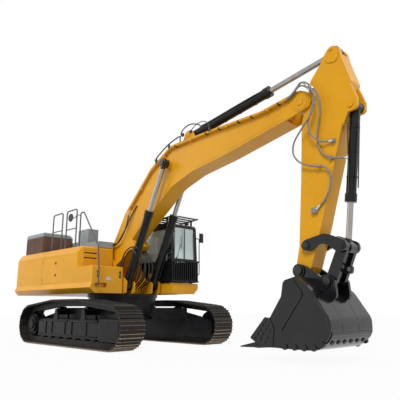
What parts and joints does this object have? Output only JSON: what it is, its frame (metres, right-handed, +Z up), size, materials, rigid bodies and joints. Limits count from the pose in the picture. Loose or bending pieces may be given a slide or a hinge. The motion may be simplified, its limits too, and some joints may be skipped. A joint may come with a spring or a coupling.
{
  "type": "mining excavator",
  "caption": "Large tracked mining excavator with slewing house, raised cranked boom, stick, bucket linkage and toothed bucket, hydraulic cylinders, guarded cab and handrails.",
  "frame": {"origin": "middle of the bounding box on the ground, between the tracks", "axes": "+X forwards, the way the cab looks and the boom reaches; +Y to the machine's left; +Z up"},
  "size_m": [13.0677, 4.29, 7.06],
  "materials": {
    "yellow": "satin",
    "black": "satin",
    "steel": "worn",
    "grey": "satin",
    "rail": "satin",
    "chrome": "polished",
    "brown": "matte",
    "engine": "matte",
    "glass": "clear",
    "seat": "woven",
    "trim": "matte",
    "rubber": "matte",
    "pipe": "satin"
  },
  "bodies": {
    "undercarriage": {"carbody": "black", "swing_bearing": "black", "track_frame_right": "black", "track_frame_left": "black", "track_right": "steel", "track_left": "steel", "final_drives": "black", "idlers": "black", "track_rollers": "black"},
    "house": {"house_frame": "yellow", "counterweight": "yellow", "right_body": "yellow", "left_body": "yellow", "toolbox": "yellow", "engine": "engine", "cooler_block": "brown", "engine_hood": "grey", "air_cleaner": "grey", "top_deck": "grey", "handrails_right": "rail", "handrails_left": "rail", "cab_shell": "black", "cab_glass": "glass", "cab_front_guard": "black", "cab_roof_guard": "black", "seat": "seat", "console": "trim", "mirrors": "black"},
    "cab_door": {"cab_door": "black", "door_glass": "glass"},
    "right_service_door": {"right_service_door": "yellow"},
    "left_service_door": {"left_service_door": "yellow"},
    "cooler_lid": {"cooler_lid": "grey"},
    "engine_lid": {"engine_lid": "grey"},
    "toolbox_lid": {"toolbox_lid": "yellow"},
    "boom": {"boom": "yellow", "boom_pipes": "pipe", "boom_hoses": "rubber"},
    "stick": {"stick": "yellow", "stick_hoses": "rubber"},
    "guide_links": {"guide_links": "black"},
    "bucket": {"bucket": "black", "bucket_teeth": "steel"},
    "bucket_link": {"bucket_link": "black"},
    "boom_barrel_right": {"boom_cylinder_right_barrel": "black"},
    "boom_rod_right": {"boom_cylinder_right_rod": "chrome"},
    "boom_barrel_left": {"boom_cylinder_left_barrel": "black"},
    "boom_rod_left": {"boom_cylinder_left_rod": "chrome"},
    "stick_barrel": {"stick_cylinder_barrel": "black"},
    "stick_rod": {"stick_cylinder_rod": "chrome"},
    "bucket_barrel": {"bucket_cylinder_barrel": "black"},
    "bucket_rod": {"bucket_cylinder_rod": "chrome"}
  },
  "joints": [
    {"name": "swing", "type": "hinge", "parent": "undercarriage", "child": "house", "pos_m": [-2.14, 0, 1.545], "axis": [0, 0, 1], "continuous": true},
    {"name": "boom_lift", "type": "hinge", "parent": "house", "child": "boom", "pos_m": [-2.36, 0, 2.55], "axis": [0, -1, 0], "range_deg": [-50, 30]},
    {"name": "stick_fold", "type": "hinge", "parent": "boom", "child": "stick", "pos_m": [5.19, 0, 5.88], "axis": [0, 1, 0], "range_deg": [-60, 38]},
    {"name": "bucket_curl", "type": "hinge", "parent": "stick", "child": "bucket", "pos_m": [4.96, 0, 1.92], "axis": [0, 1, 0], "range_deg": [-45, 90]},
    {"name": "guide_link_turn", "type": "hinge", "parent": "stick", "child": "guide_links", "pos_m": [5.16, 0, 2.46], "axis": [0, 1, 0], "range_deg": [-39, 78]},
    {"name": "bucket_link_turn", "type": "hinge", "parent": "bucket", "child": "bucket_link", "pos_m": [5.66, 0, 1.66], "axis": [0, 1, 0], "range_deg": [-61, 31]},
    {"name": "stick_cylinder_tilt", "type": "hinge", "parent": "boom", "child": "stick_barrel", "pos_m": [1.21, 0, 6.17], "axis": [0, 1, 0], "range_deg": [-12, 8]},
    {"name": "stick_cylinder_stroke", "type": "slide", "parent": "stick_barrel", "child": "stick_rod", "axis": [0.9879, 0, 0.1551], "range_m": [-1.05, 0.67]},
    {"name": "bucket_cylinder_tilt", "type": "hinge", "parent": "stick", "child": "bucket_barrel", "pos_m": [6.42, 0, 5.45], "axis": [0, 1, 0], "range_deg": [-2, 4]},
    {"name": "bucket_cylinder_stroke", "type": "slide", "parent": "bucket_barrel", "child": "bucket_rod", "axis": [-0.132, 0, -0.9913], "range_m": [-0.5, 1]},
    {"name": "cab_door_swing", "type": "hinge", "parent": "house", "child": "cab_door", "pos_m": [-1.72, 1.85, 2.8], "axis": [0, 0, 1], "range_deg": [0, 150]},
    {"name": "right_service_door_swing", "type": "hinge", "parent": "house", "child": "right_service_door", "pos_m": [-4.295, -1.812, 2.3], "axis": [0, 0, -1], "range_deg": [0, 110]},
    {"name": "left_service_door_swing", "type": "hinge", "parent": "house", "child": "left_service_door", "pos_m": [-4.295, 1.812, 2.3], "axis": [0, 0, 1], "range_deg": [0, 110]},
    {"name": "cooler_lid_lift", "type": "hinge", "parent": "house", "child": "cooler_lid", "pos_m": [-6.134, 0, 3.63], "axis": [0, -1, 0], "range_deg": [0, 60]},
    {"name": "engine_lid_lift", "type": "hinge", "parent": "house", "child": "engine_lid", "pos_m": [-6.134, 0, 3.4], "axis": [0, -1, 0], "range_deg": [0, 60]},
    {"name": "toolbox_lid_lift", "type": "hinge", "parent": "house", "child": "toolbox_lid", "pos_m": [-1.67, 0, 2.354], "axis": [0, -1, 0], "range_deg": [0, 80]},
    {"name": "boom_cylinder_right_tilt", "type": "hinge", "parent": "house", "child": "boom_barrel_right", "pos_m": [-1.24, -0.5, 1.78], "axis": [0, -1, 0], "range_deg": [-51, 31]},
    {"name": "boom_cylinder_right_stroke", "type": "slide", "parent": "boom_barrel_right", "child": "boom_rod_right", "axis": [0.43, 0, 0.9028], "range_m": [-1.1, 0.66]},
    {"name": "boom_cylinder_left_tilt", "type": "hinge", "parent": "house", "child": "boom_barrel_left", "pos_m": [-1.24, 0.5, 1.78], "axis": [0, -1, 0], "range_deg": [-51, 31]},
    {"name": "boom_cylinder_left_stroke", "type": "slide", "parent": "boom_barrel_left", "child": "boom_rod_left", "axis": [0.43, 0, 0.9028], "range_m": [-1.1, 0.66]}
  ],
  "couplings": [
    {"joint": "stick_cylinder_tilt", "follows": "stick_fold", "ratio": 0.176},
    {"joint": "stick_cylinder_stroke", "follows": "stick_fold", "m_per_rad": 1},
    {"joint": "bucket_cylinder_tilt", "follows": "bucket_curl", "ratio": 0.034},
    {"joint": "bucket_cylinder_stroke", "follows": "bucket_curl", "m_per_rad": 0.629},
    {"joint": "guide_link_turn", "follows": "bucket_curl", "ratio": 0.85},
    {"joint": "bucket_link_turn", "follows": "bucket_curl", "ratio": -0.668},
    {"joint": "boom_cylinder_right_tilt", "follows": "boom_lift", "ratio": 1.006},
    {"joint": "boom_cylinder_right_stroke", "follows": "boom_lift", "m_per_rad": 1.245},
    {"joint": "boom_cylinder_left_tilt", "follows": "boom_lift", "ratio": 1.006},
    {"joint": "boom_cylinder_left_stroke", "follows": "boom_lift", "m_per_rad": 1.245}
  ]
}
